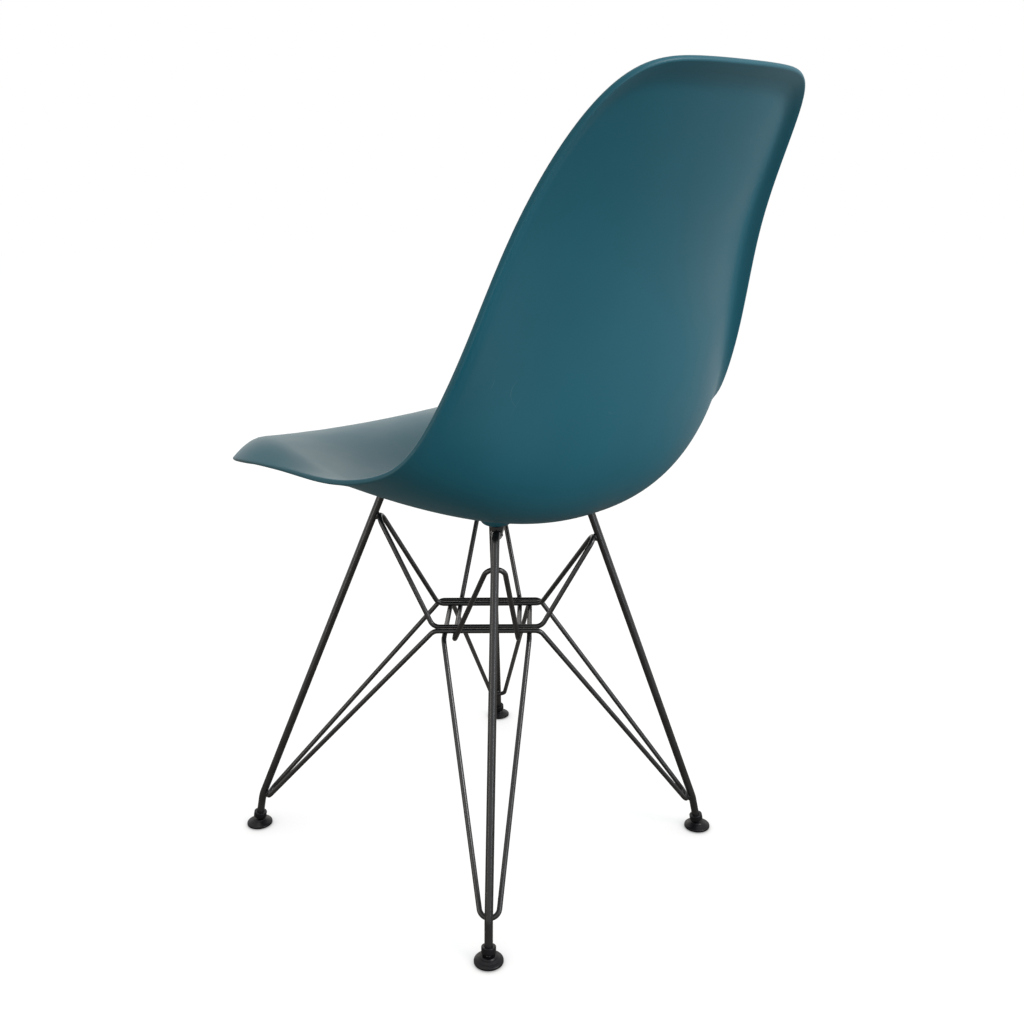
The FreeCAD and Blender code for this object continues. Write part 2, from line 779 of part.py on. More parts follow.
# The loops from front left to rear right lie on top of the other pair at the waist.
LOWER_LAYER = WAIST_HEIGHT - 2 * WIRE_RADIUS + WELD_SINK
save("upper_loop_left_right", brace_loop("front_left", "rear_right", True, WAIST_HEIGHT))
save("lower_loop_left_right", brace_loop("front_left", "rear_right", False, WAIST_HEIGHT))
save("upper_loop_right_left", brace_loop("front_right", "rear_left", True, LOWER_LAYER))
save("lower_loop_right_left", brace_loop("front_right", "rear_left", False, LOWER_LAYER))
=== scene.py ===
import bmesh
import bpy
import math
import numpy as np
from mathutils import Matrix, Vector
from mathutils.bvhtree import BVHTree


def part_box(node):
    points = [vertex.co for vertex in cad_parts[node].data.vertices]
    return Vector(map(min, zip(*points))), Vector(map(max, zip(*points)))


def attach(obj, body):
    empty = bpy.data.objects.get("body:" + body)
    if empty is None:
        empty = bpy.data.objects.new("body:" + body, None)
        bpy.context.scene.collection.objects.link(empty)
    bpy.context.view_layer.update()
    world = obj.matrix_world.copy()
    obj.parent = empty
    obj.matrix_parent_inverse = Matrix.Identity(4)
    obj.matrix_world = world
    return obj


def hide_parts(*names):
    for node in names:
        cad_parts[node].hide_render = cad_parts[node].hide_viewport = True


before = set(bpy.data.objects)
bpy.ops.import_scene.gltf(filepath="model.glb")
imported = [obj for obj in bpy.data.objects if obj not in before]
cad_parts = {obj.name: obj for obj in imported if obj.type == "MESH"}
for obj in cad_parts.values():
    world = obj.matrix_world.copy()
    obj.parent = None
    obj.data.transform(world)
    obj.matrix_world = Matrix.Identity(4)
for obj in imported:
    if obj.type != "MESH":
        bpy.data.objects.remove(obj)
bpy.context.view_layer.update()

# The shell: seat, back and side wings moulded in one piece of polypropylene, 5 mm thick.
# Its lines run from the front lip over the seat and up to the top edge of the back.
# Four bosses under the seat carry the base.
shell_stations = np.array([
    # depth, height, half width, rise of the wing, backward roll of the edge
    (-273, 411, 201, -3, 12),
    (-207, 447, 220, 8, 17),
    (-112, 459, 226, 22, 20),
    (-14, 430, 232, 51, 12),
    (104, 408, 233, 77, 5),
    (165, 420, 224, 86, 5),
    (202, 519, 202, 52, 10),
    (235, 684, 168, 24, 12),
    (304, 809, 150, 28, 11),
]) / 1000
shell_wall = 0.005
edge_softness = 0.0019
# Squareness of the outline at the front lip and the top edge, and along the sides.
lip_power, top_power = 4.75, 4.85
seat_side_power, back_side_power = 1.95, 6.9
# The wings rise upward from the seat and turn to rise almost straight forward from the back.
seat_wing_power, back_wing_power = 1.9, 2.45
seat_wing_angle, back_wing_angle = 91, -8
wing_turn_start, wing_turn_end = 0.24, 1.03
# Width of the rolled edge, and how far its roll goes on beyond the outline.
seat_roll_width, back_roll_width = 0.035, 0.021
roll_runout = 0.020
# Each boss: distance from the middle, depth, and how far its tip hangs below the seat.
boss_places = {"front": (0.0648, -0.0617, 0.022), "rear": (0.057, 0.080, 0.013)}
boss_tip_radius = 0.006
boss_tip_chamfer = 0.0006
boss_neck = 0.0015
boss_flare_radius = 0.0175
boss_flare_height = 0.008
boss_fullness = 0.0032
boss_fillet = 0.003
boss_sink = 0.0025
insert_radius = 0.0044
insert_length = 0.009


def fair_curve(at, values):
    """A smooth curve through the stations, straight beyond both ends."""
    gap = np.diff(at)
    slope = np.diff(values) / gap
    last = len(at) - 1
    pull = np.eye(last + 1)
    load = np.zeros(last + 1)
    for i in range(1, last):
        pull[i, i - 1:i + 2] = gap[i - 1], 2 * (gap[i - 1] + gap[i]), gap[i]
        load[i] = 6 * (slope[i] - slope[i - 1])
    bend = np.linalg.solve(pull, load)
    first_slope = slope[0] - gap[0] * bend[1] / 6
    last_slope = slope[-1] + gap[-1] * bend[-2] / 6

    def value(place):
        i = np.clip(np.searchsorted(at, place) - 1, 0, last - 1)
        right = (place - at[i]) / gap[i]
        left = 1 - right
        sag = ((left ** 3 - left) * bend[i] + (right ** 3 - right) * bend[i + 1]) * gap[i] ** 2 / 6
        inside = left * values[i] + right * values[i + 1] + sag
        before = values[0] + first_slope * (place - at[0])
        after = values[-1] + last_slope * (place - at[-1])
        return np.where(place < at[0], before, np.where(place > at[-1], after, inside))

    return value


shell_steps = np.hypot(*np.diff(shell_stations[:, :2], axis=0).T)
shell_distances = np.concatenate([[0], np.cumsum(shell_steps)])
shell_length = shell_distances[-1]
middle_depth, middle_height, half_width, wing_rise, edge_roll = (
    fair_curve(shell_distances, column) for column in shell_stations.T
)


def eased(value):
    value = np.clip(value, 0, 1)
    return value * value * (3 - 2 * value)


def from_seat_to_back(seat, back, along):
    return seat + (back - seat) * eased(along / shell_length)


def outline_powers(along, middle):
    """Squareness of the outline at the nearer end and at the sides."""
    end_power = np.where(middle < 0, lip_power, top_power)
    return end_power, from_seat_to_back(seat_side_power, back_side_power, along)


def outline_level(along, across):
    """One on the shell's edge, and less inside it."""
    middle = 2 * along / shell_length - 1
    end_power, side_power = outline_powers(along, middle)
    return (np.abs(across) / half_width(along)) ** side_power + np.abs(middle) ** end_power


def outer_face(along, across):
    """The underside of the seat and the rear of the back."""
    probe = 0.0005
    level = outline_level(along, across)
    step_along = outline_level(along + probe, across) - outline_level(along - probe, across)
    step_across = outline_level(along, across + probe) - outline_level(along, across - probe)
    steepness = np.hypot(step_along, step_across) / (2 * probe)
    inside = (1 - level) / np.maximum(steepness, 1e-3)
    inside = np.where(inside < 0, roll_runout * (np.exp(inside / roll_runout) - 1), inside)
    share = np.abs(across) / half_width(along)
    rise = wing_rise(along) * share ** from_seat_to_back(seat_wing_power, back_wing_power, along)
    roll_width = from_seat_to_back(seat_roll_width, back_roll_width, along)
    roll = edge_roll(along) * np.maximum(0, 1 - inside / roll_width) ** 2
    turn = (along / shell_length - wing_turn_start) / (wing_turn_end - wing_turn_start)
    angle = np.radians(seat_wing_angle + (back_wing_angle - seat_wing_angle) * eased(turn))
    depth = middle_depth(along) - (rise - roll) * np.cos(angle)
    height = middle_height(along) + (rise - roll) * np.sin(angle)
    return np.stack([across, depth, height], axis=-1)


def inner_face(along, across):
    """The sitter's side, one wall away from the outer face."""
    probe = 0.001
    step_along = outer_face(along + probe, across) - outer_face(along - probe, across)
    step_across = outer_face(along, across + probe) - outer_face(along, across - probe)
    normal = np.cross(step_across, step_along)
    normal /= np.linalg.norm(normal, axis=-1, keepdims=True)
    return outer_face(along, across) + normal * shell_wall


def shell_outline(count):
    """Evenly spaced places around the edge, as distance along and across."""
    middle = np.sin(np.pi * (np.linspace(0, 1, 1601) - 0.5))
    along = shell_length * (middle + 1) / 2
    end_power, side_power = outline_powers(along, middle)
    across = half_width(along) * np.maximum(0, 1 - np.abs(middle) ** end_power) ** (1 / side_power)
    along = np.concatenate([along, along[-2::-1]])
    across = np.concatenate([across, -across[-2::-1]])
    run = np.concatenate([[0], np.cumsum(np.hypot(np.diff(along), np.diff(across)))])
    marks = np.linspace(0, run[-1], count, endpoint=False)
    return np.interp(marks, run, along), np.interp(marks, run, across)


def mesh_piece(name, points, faces):
    """A smooth-shaded piece from its points and faces, with all faces turned outward."""
    mesh = bpy.data.meshes.new(name)
    mesh.from_pydata([tuple(p) for p in points], [], faces)
    build = bmesh.new()
    build.from_mesh(mesh)
    bmesh.ops.recalc_face_normals(build, faces=build.faces)
    build.to_mesh(mesh)
    build.free()
    mesh.shade_smooth()
    piece = bpy.data.objects.new(name, mesh)
    bpy.context.scene.collection.objects.link(piece)
    return piece


def ring_faces(rings, around, closed=False):
    """Quads between neighbouring rings of points. A closed run joins the last ring to the first."""
    faces = []
    for i in range(rings if closed else rings - 1):
        here = i * around
        ahead = (i + 1) % rings * around
        for j in range(around):
            k = (j + 1) % around
            faces.append((here + j, here + k, ahead + k, ahead + j))
    return faces


def shell_mesh():
    """Rings of points from the middle of the outer face, around the soft edge, to the middle inside."""
    around = 480
    edge_along, edge_across = shell_outline(around)
    # Each ring is the outline drawn in toward the middle, where an inset of the full reach would end.
    reach = 0.23
    close_insets = np.geomspace(0.0035, 0.05, 14)
    wide_insets = np.linspace(0.058, 0.222, 22)
    insets = np.concatenate([close_insets, wide_insets])
    half = shell_length / 2
    outer_rings = []
    inner_rings = []
    for inset in insets[::-1]:
        scale = 1 - inset / reach
        along = half + (edge_along - half) * scale
        across = edge_across * scale
        outer_rings.append(outer_face(along, across))
        inner_rings.append(inner_face(along, across))
    outer_edge = outer_face(edge_along, edge_across)
    inner_edge = inner_face(edge_along, edge_across)
    # The lip is rounded between the way through the wall and the way outward from a ring 1 mm inside.
    through = (inner_edge - outer_edge) / shell_wall
    near = 1 - 0.001 / reach
    beside = outer_face(half + (edge_along - half) * near, edge_across * near)
    outward = outer_edge - beside
    outward -= through * np.sum(outward * through, axis=1, keepdims=True)
    outward /= np.linalg.norm(outward, axis=1, keepdims=True)
    lip_rings = []
    for edge, inward, turns in ((outer_edge, through, (0, 90)), (inner_edge, -through, (90, 0))):
        for turn in np.radians(np.linspace(*turns, 6)):
            back = edge_softness * (1 - math.sin(turn))
            deep = edge_softness * (1 - math.cos(turn))
            lip_rings.append(edge - outward * back + inward * deep)
    rings = outer_rings + lip_rings + inner_rings[::-1]
    poles = [face(np.array([half]), np.array([0.0])) for face in (outer_face, inner_face)]
    points = np.concatenate(rings + poles)
    faces = ring_faces(len(rings), around)
    outer_pole = len(rings) * around
    last = outer_pole - around
    for j in range(around):
        k = (j + 1) % around
        faces.append((outer_pole, k, j))
        faces.append((outer_pole + 1, last + j, last + k))
    # The origin is under the middle of the shell's depth, as in the CAD frame.
    both = np.concatenate([outer_edge[:, 1], inner_edge[:, 1]])
    shift = (both.min() + both.max()) / 2
    points[:, 1] -= shift
    return mesh_piece("moulded_shell", points, faces), shift


def fuse(piece, addition):
    """Makes one skin of a piece and an addition to it."""
    joint = piece.modifiers.new("joint", "BOOLEAN")
    joint.operation = "UNION"
    joint.solver = "EXACT"
    joint.object = addition
    fused = piece.evaluated_get(bpy.context.evaluated_depsgraph_get())
    piece.data = bpy.data.meshes.new_from_object(fused)
    piece.modifiers.clear()
    bpy.data.objects.remove(addition)


moulded_shell, depth_shift = shell_mesh()


def boss_mesh(side, x, y, drop):
    """A dished cone with a pocket for the insert, running into the seat with a small fillet."""
    around = 64
    skin = BVHTree.FromObject(moulded_shell, bpy.context.evaluated_depsgraph_get())
    centre = Vector((side * x, y - depth_shift, 0))
    under = skin.ray_cast(centre, Vector((0, 0, 1)))[0]
    tip = under.z - drop
    cone = [(insert_radius, insert_length), (insert_radius, 0),
            (boss_tip_radius - boss_tip_chamfer, 0), (boss_tip_radius, boss_tip_chamfer),
            (boss_tip_radius, boss_neck)]
    # The flare is a shallow arc from the neck to the full radius, fullest in its middle.
    flare_width = boss_flare_radius - boss_tip_radius
    flare_slant = math.hypot(flare_width, boss_flare_height)
    for share in np.linspace(0, 1, 9)[1:]:
        bulge = boss_fullness * 4 * share * (1 - share) / flare_slant
        cone.append((boss_tip_radius + flare_width * share + bulge * boss_flare_height,
                     boss_neck + boss_flare_height * share - bulge * flare_width))
    rows = []
    for radius, height in cone:
        rows.append([(radius, tip + height)] * around)
    # The fillet meets the seat's skin, and the last rings close the boss inside the wall.
    blend = []
    for turn in np.radians(np.linspace(0, 80, 6)):
        blend.append((boss_flare_radius + boss_fillet * (1 - math.cos(turn)),
                      boss_fillet * (1 - math.sin(turn))))
    blend.append((boss_flare_radius + boss_fillet * 0.9, -boss_sink * 0.6))
    for share in (0.8, 0.4):
        blend.append((boss_flare_radius * share, -boss_sink))
    turns = np.linspace(0, 2 * np.pi, around, endpoint=False)
    for radius, below in blend:
        row = []
        for turn in turns:
            place = centre + Vector((radius * math.cos(turn), radius * math.sin(turn), 0))
            row.append((radius, skin.ray_cast(place, Vector((0, 0, 1)))[0].z - below))
        rows.append(row)
    points = []
    for row in rows:
        for turn, (radius, height) in zip(turns, row):
            points.append((centre.x + radius * math.cos(turn), centre.y + radius * math.sin(turn), height))
    faces = ring_faces(len(rows), around)
    points.append((centre.x, centre.y, tip + insert_length))
    points.append((centre.x, centre.y, under.z + boss_sink))
    last = (len(rows) - 1) * around
    for j in range(around):
        k = (j + 1) % around
        faces.append((len(points) - 2, k, j))
        faces.append((len(points) - 1, last + j, last + k))
    return mesh_piece("boss", points, faces)


for boss_x, boss_y, boss_drop in boss_places.values():
    for side in (1, -1):
        fuse(moulded_shell, boss_mesh(side, boss_x, boss_y, boss_drop))
moulded_shell.data.set_sharp_from_angle(angle=math.radians(40))


def shader_group(name, inputs, outputs):
    """An empty group of shader nodes with named sockets. A number given for an input is its default."""
    group = bpy.data.node_groups.new(name, "ShaderNodeTree")
    for label, kind, default in inputs:
        socket = group.interface.new_socket(label, in_out="INPUT", socket_type=kind)
        if default is not None:
            socket.default_value = default
    for label, kind in outputs:
        group.interface.new_socket(label, in_out="OUTPUT", socket_type=kind)
    group.nodes.new("NodeGroupInput").name = "in"
    group.nodes.new("NodeGroupOutput").name = "out"
    return group


def node(tree, kind, values=None, **settings):
    """One shader node, with its settings and the values of its sockets."""
    made = tree.nodes.new(kind)
    for label, value in settings.items():
        setattr(made, label, value)
    for label, value in (values or {}).items():
        if isinstance(value, bpy.types.NodeSocket):
            tree.links.new(value, made.inputs[label])
        else:
            made.inputs[label].default_value = value
    return made


def remapped(tree, value, low, high, new_low, new_high):
    ramp = node(tree, "ShaderNodeMapRange", {0: value, 1: low, 2: high, 3: new_low, 4: new_high})
    return ramp.outputs[0]


def mixed(tree, share, first, second):
    """Two colours mixed by a share. Each is written out or comes from another node."""
    mix = node(tree, "ShaderNodeMix", {0: share, 6: first, 7: second}, data_type="RGBA")
    return mix.outputs[2]


number, vector = "NodeSocketFloat", "NodeSocketVector"


def mould_texture_group():
    """Fine even grain of a moulded skin, with faint cloudiness in its sheen."""
    group = shader_group(
        "mould_texture",
        [("Position", vector, None), ("Grain per metre", number, 2200.0), ("Cloud per metre", number, 9.0)],
        [("Height", number), ("Sheen", number)],
    )
    place = group.nodes["in"].outputs
    grain = node(group, "ShaderNodeTexNoise", {"Vector": place[0], "Scale": place[1], "Detail": 2.0})
    coarse_scale = node(group, "ShaderNodeMath", {0: place[1], 1: 0.28}, operation="MULTIPLY").outputs[0]
    coarse = node(group, "ShaderNodeTexNoise", {"Vector": place[0], "Scale": coarse_scale, "Detail": 1.0})
    height = node(group, "ShaderNodeMath", {0: grain.outputs[0], 1: coarse.outputs[0]}, operation="ADD")
    cloud = node(group, "ShaderNodeTexNoise", {"Vector": place[0], "Scale": place[2], "Detail": 5.0})
    group.links.new(height.outputs[0], group.nodes["out"].inputs[0])
    group.links.new(remapped(group, cloud.outputs[0], 0.3, 0.7, -1.0, 1.0), group.nodes["out"].inputs[1])
    return group


mould_texture = mould_texture_group()


def handling_marks_group():
    """Sparse hair-fine scratches from use: thin bent lines, broken up along their length."""
    group = shader_group("handling_marks", [("Position", vector, None), ("Marks per metre", number, 16.0)],
                         [("Marks", number)])
    place = group.nodes["in"].outputs
    masks = []
    for turn, share in ((0.4, 0.66), (1.7, 0.68)):
        rotation = (turn, turn * 0.6, turn * 1.3)
        turned = node(group, "ShaderNodeMapping", {"Vector": place[0], "Rotation": rotation}).outputs[0]
        sway = node(group, "ShaderNodeTexNoise", {"Vector": turned, "Scale": place[1], "Detail": 0.0})
        line = node(group, "ShaderNodeMath", {0: sway.outputs[0], 1: 0.5}, operation="SUBTRACT").outputs[0]
        line = node(group, "ShaderNodeMath", {0: line}, operation="ABSOLUTE").outputs[0]
        thin = remapped(group, line, 0.0, 0.0022, 1.0, 0.0)
        breaks = node(group, "ShaderNodeTexNoise", {"Vector": place[0], "Scale": place[1], "Detail": 3.0})
        kept = remapped(group, breaks.outputs[0], share, share + 0.03, 0.0, 1.0)
        masks.append(node(group, "ShaderNodeMath", {0: thin, 1: kept}, operation="MULTIPLY").outputs[0])
    both = node(group, "ShaderNodeMath", {0: masks[0], 1: masks[1]}, operation="MAXIMUM")
    group.links.new(both.outputs[0], group.nodes["out"].inputs[0])
    return group


handling_marks = handling_marks_group()


def placed_group(tree, group, values):
    return node(tree, "ShaderNodeGroup", values, node_tree=group)


def new_finish(name):
    """A material with only its surface shader and the point's position on the piece."""
    finish = bpy.data.materials.new(name)
    finish.use_nodes = True
    tree = finish.node_tree
    tree.nodes.clear()
    surface = tree.nodes.new("ShaderNodeBsdfPrincipled")
    output = tree.nodes.new("ShaderNodeOutputMaterial")
    tree.links.new(surface.outputs[0], output.inputs[0])
    place = tree.nodes.new("ShaderNodeTexCoord").outputs["Object"]
    return finish, tree, surface, place


def bumped(tree, surface, height, distance, strength):
    bump = node(tree, "ShaderNodeBump", {"Height": height, "Distance": distance, "Strength": strength})
    tree.links.new(bump.outputs[0], surface.inputs["Normal"])


def shell_plastic():
    finish, tree, surface, place = new_finish("shell_plastic")
    skin = placed_group(tree, mould_texture, {"Position": place, "Grain per metre": 1500.0})
    marks = placed_group(tree, handling_marks, {"Position": place, "Marks per metre": 17.0}).outputs[0]
    cloud = remapped(tree, skin.outputs["Sheen"], -1, 1, 0, 1)
    petrol = mixed(tree, cloud, (0.0035, 0.090, 0.128, 1), (0.0050, 0.100, 0.142, 1))
    scratched = mixed(tree, remapped(tree, marks, 0, 1, 0, 0.55), petrol, (0.10, 0.19, 0.22, 1))
    # Painted highlight: the rounded edge is painted paler, as if it caught the light.
    edge = node(tree, "ShaderNodeNewGeometry").outputs["Pointiness"]
    edge_highlight = mixed(tree, remapped(tree, edge, 0.51, 0.57, 0, 0.28), scratched, (0.12, 0.20, 0.21, 1))
    tree.links.new(edge_highlight, surface.inputs["Base Color"])
    rough = remapped(tree, skin.outputs["Sheen"], -1, 1, 0.40, 0.50)
    tree.links.new(rough, surface.inputs["Roughness"])
    surface.inputs["Specular IOR Level"].default_value = 0.32
    bumped(tree, surface, skin.outputs["Height"], 0.00003, 0.35)
    return finish


moulded_shell.data.materials.clear()
moulded_shell.data.materials.append(shell_plastic())
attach(moulded_shell, "base")
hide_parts("shell")

# The threaded inserts: short brass bushes set in the bosses, where the base is screwed on.
# Only a thin ring of each shows, and the rubber pad covers most of that.
corners = {"front_left": (1, -1), "front_right": (-1, -1), "rear_left": (1, 1), "rear_right": (-1, 1)}


def insert_brass():
    finish, tree, surface, place = new_finish("insert_brass")
    turned = node(tree, "ShaderNodeTexNoise", {"Vector": place, "Scale": 900.0, "Detail": 3.0})
    tint = mixed(tree, turned.outputs[0], (0.40, 0.24, 0.08, 1), (0.60, 0.41, 0.16, 1))
    tree.links.new(tint, surface.inputs["Base Color"])
    surface.inputs["Metallic"].default_value = 1.0
    tree.links.new(remapped(tree, turned.outputs[0], 0.3, 0.7, 0.25, 0.45), surface.inputs["Roughness"])
    return finish


brass = insert_brass()
for corner in corners:
    threaded_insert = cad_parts["threaded_insert_" + corner]
    threaded_insert.data.materials.clear()
    threaded_insert.data.materials.append(brass)

# The rubber pads: black washers of hard rubber between the bosses and the steel.
# They spread the load and let the shell give a little.


def lathe_piece(name, profile, origin, axis=(0, 0, 1), around=64, closed=True):
    """Turns an outline of (radius, height) points about an axis. A point on the axis closes it."""
    spin = Vector((0, 0, 1)).rotation_difference(Vector(axis).normalized())
    origin = Vector(origin)
    points = []
    rings = []
    for radius, height in profile:
        start = len(points)
        if radius < 1e-7:
            points.append(origin + spin @ Vector((0, 0, height)))
            rings.append((start, 1))
            continue
        for j in range(around):
            turn = 2 * math.pi * j / around
            place = Vector((radius * math.cos(turn), radius * math.sin(turn), height))
            points.append(origin + spin @ place)
        rings.append((start, around))
    faces = []
    pairs = list(zip(rings, rings[1:]))
    if closed and rings[0][1] > 1:
        pairs.append((rings[-1], rings[0]))
    for (here, here_count), (ahead, ahead_count) in pairs:
        for j in range(around):
            k = (j + 1) % around
            if here_count == 1:
                faces.append((here, ahead + k, ahead + j))
            elif ahead_count == 1:
                faces.append((here + j, here + k, ahead))
            else:
                faces.append((here + j, here + k, ahead + k, ahead + j))
    return mesh_piece(name, points, faces)


def softened(profile, radii, steps=4):
    """Rounds the corners of an outline. A radius of zero leaves a corner as it is."""
    smooth = []
    count = len(profile)
    for i, (corner_point, radius) in enumerate(zip(profile, radii)):
        here = Vector(corner_point)
        if radius == 0:
            smooth.append(tuple(here))
            continue
        back = Vector(profile[i - 1]) - here
        ahead = Vector(profile[(i + 1) % count]) - here
        half = back.angle(ahead) / 2
        reach = min(radius / math.tan(half), 0.49 * back.length, 0.49 * ahead.length)
        start = here + back.normalized() * reach
        end = here + ahead.normalized() * reach
        for k in range(steps + 1):
            share = k / steps
            point = start * (1 - share) ** 2 + here * 2 * share * (1 - share) + end * share ** 2
            smooth.append(tuple(point))
    return smooth


def middle_of(name):
    low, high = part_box(name)
    return (Vector(low) + Vector(high)) / 2, Vector(low), Vector(high)


def pad_rubber():
    finish, tree, surface, place = new_finish("pad_rubber")
    grain = node(tree, "ShaderNodeTexNoise", {"Vector": place, "Scale": 1800.0, "Detail": 3.0})
    tint = mixed(tree, grain.outputs[0], (0.006, 0.006, 0.0065, 1), (0.018, 0.018, 0.019, 1))
    tree.links.new(tint, surface.inputs["Base Color"])
    tree.links.new(remapped(tree, grain.outputs[0], 0.3, 0.7, 0.6, 0.8), surface.inputs["Roughness"])
    bumped(tree, surface, grain.outputs[0], 0.00005, 0.5)
    return finish


rubber = pad_rubber()
screw_clearance_radius = 0.0032
pad_radius = 0.0062
pad_edge = 0.0008
for corner in corners:
    centre, low, high = middle_of("rubber_pad_" + corner)
    thick = high.z - low.z
    outline = [(screw_clearance_radius, 0), (pad_radius, 0),
               (pad_radius, thick), (screw_clearance_radius, thick)]
    outline = softened(outline, [0, pad_edge, pad_edge, 0])
    pad = lathe_piece("pad_" + corner, outline, (centre.x, centre.y, low.z), around=48)
    pad.data.set_sharp_from_angle(angle=math.radians(40))
    pad.data.materials.append(rubber)
    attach(pad, "base")
    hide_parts("rubber_pad_" + corner)

# The legs: 8.4 mm steel rod, straight from a low bend above the foot to a tight bend under the seat.
# Above that bend the rod is pressed flat and drilled for the screw.
# All the steel of the base has the same dark grey satin coating.
rod_radius = 0.0042
foot_places = {"front": (0.195, -0.1965), "rear": (0.1665, 0.175)}
low_bend_height = 0.040
low_bend_inset = 0.008
low_bend_radius = 0.045
top_bend_to_mount = 0.015
top_bend_radius = 0.010
# The press starts just inside the top bend and takes a few millimetres to reach the flat's full form.
press_from_bend = 0.0075
press_length = 0.0045
flat_thickness = 0.0046
flat_width = 0.012
flat_beyond_mount = 0.020
round_power, flat_power = 2.0, 3.6
# The rod ends in the foot's sleeve, above the ball that the foot tilts on.
ball_height = 0.0064
rod_end_above_ball = 0.0054


def corner_places(corner):
    """The middle of the flattened end at the screw, the foot and the level way outward."""
    side = corners[corner][0]
    key = corner.split("_")[0]
    mount = Vector((side * boss_places[key][0], boss_places[key][1] - depth_shift, 0))
    foot = Vector((side * foot_places[key][0], foot_places[key][1] - depth_shift, 0))
    low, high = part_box("rubber_pad_" + corner)
    mount.z = low[2] - flat_thickness / 2
    outward = foot - mount
    outward.z = 0
    return mount, foot, outward.normalized()


def leg_bends(corner):
    """Where the leg's straight runs would meet: above the foot and under the seat."""
    mount, foot, outward = corner_places(corner)
    low_bend = foot - outward * low_bend_inset + Vector((0, 0, low_bend_height))
    return low_bend, mount + outward * top_bend_to_mount


def ball_place(corner):
    """The middle of the foot's ball, and the way up the lowest run of the leg."""
    foot = corner_places(corner)[1]
    foot_axis = (leg_bends(corner)[0] - foot).normalized()
    return foot + foot_axis * (ball_height / foot_axis.z), foot_axis


def rounded_route(stops, radii, per_bend=14):
    """Straight runs joined by arcs, as a list of points with a few on each arc."""
    route = []
    count = len(stops)
    for i in range(count):
        here = stops[i]
        if radii[i] == 0:
            route.append(here.copy())
            continue
        back = (stops[i - 1] - here).normalized()
        ahead = (stops[(i + 1) % count] - here).normalized()
        half = back.angle(ahead) / 2
        bisector = (back + ahead).normalized()
        centre = here + bisector * (radii[i] / math.sin(half))
        sweep = math.pi - 2 * half
        for k in range(per_bend + 1):
            turn = sweep * (k / per_bend - 0.5)
            sideways = (ahead - back).normalized()
            on_arc = sideways * math.sin(turn) - bisector * math.cos(turn)
            route.append(centre + on_arc * radii[i])
    return route


def evenly_filled(route, longest):
    """Adds points on the long straight runs, so that the mesh has even faces."""
    filled = []
    for here, ahead in zip(route, route[1:]):
        steps = max(1, math.ceil((ahead - here).length / longest))
        for k in range(steps):
            filled.append(here.lerp(ahead, k / steps))
    filled.append(route[-1])
    return filled


def swept_rod(name, route, sections, steady, closed=False, around=28):
    """Sweeps a section along a route. Each section is (half width, half height, squareness).
    The width of an open rod lies along the steady direction, and that of a closed one square to it."""
    points = []
    count = len(route)
    for i, here in enumerate(route):
        before = route[i - 1] if closed or i > 0 else here
        after = route[(i + 1) % count] if closed or i < count - 1 else here
        along = (after - before).normalized()
        width_way = steady.cross(along).normalized() if closed else steady
        height_way = along.cross(width_way).normalized()
        half_wide, half_high, power = sections[i]
        for j in range(around):
            turn = 2 * math.pi * j / around
            c, s = math.cos(turn), math.sin(turn)
            x = half_wide * math.copysign(abs(c) ** (2 / power), c)
            y = half_high * math.copysign(abs(s) ** (2 / power), s)
            points.append(here + width_way * x + height_way * y)
    faces = ring_faces(count, around, closed)
    if not closed:
        faces.append(tuple(range(around)))
        faces.append(tuple(range((count - 1) * around, count * around)))
    return mesh_piece(name, points, faces)


def coating_grain_group():
    """Thin coating on drawn steel: orange peel, uneven tone and rubbed spots."""
    group = shader_group("coating_grain", [("Position", vector, None), ("Peel per metre", number, 900.0)],
                         [("Height", number), ("Rubbed", number), ("Tone", number)])
    place = group.nodes["in"].outputs
    peel = node(group, "ShaderNodeTexNoise", {"Vector": place[0], "Scale": place[1], "Detail": 2.0})
    tone = node(group, "ShaderNodeTexNoise", {"Vector": place[0], "Scale": 60.0, "Detail": 4.0})
    spots = node(group, "ShaderNodeTexNoise", {"Vector": place[0], "Scale": 210.0, "Detail": 5.0})
    group.links.new(peel.outputs[0], group.nodes["out"].inputs[0])
    group.links.new(remapped(group, spots.outputs[0], 0.66, 0.72, 0.0, 1.0), group.nodes["out"].inputs[1])
    group.links.new(remapped(group, tone.outputs[0], 0.3, 0.7, 0.0, 1.0), group.nodes["out"].inputs[2])
    return group


coating_grain = coating_grain_group()


def frame_steel():
    finish, tree, surface, place = new_finish("frame_steel")
    coat = placed_group(tree, coating_grain, {"Position": place, "Peel per metre": 900.0})
    tone = mixed(tree, coat.outputs["Tone"], (0.010, 0.010, 0.0105, 1), (0.018, 0.0175, 0.018, 1))
    worn = remapped(tree, coat.outputs["Rubbed"], 0, 1, 0, 0.3)
    tree.links.new(mixed(tree, worn, tone, (0.060, 0.058, 0.056, 1)), surface.inputs["Base Color"])
    surface.inputs["Specular IOR Level"].default_value = 0.55
    tree.links.new(remapped(tree, coat.outputs["Tone"], 0, 1, 0.24, 0.32), surface.inputs["Roughness"])
    bumped(tree, surface, coat.outputs["Height"], 0.00006, 0.18)
    return finish


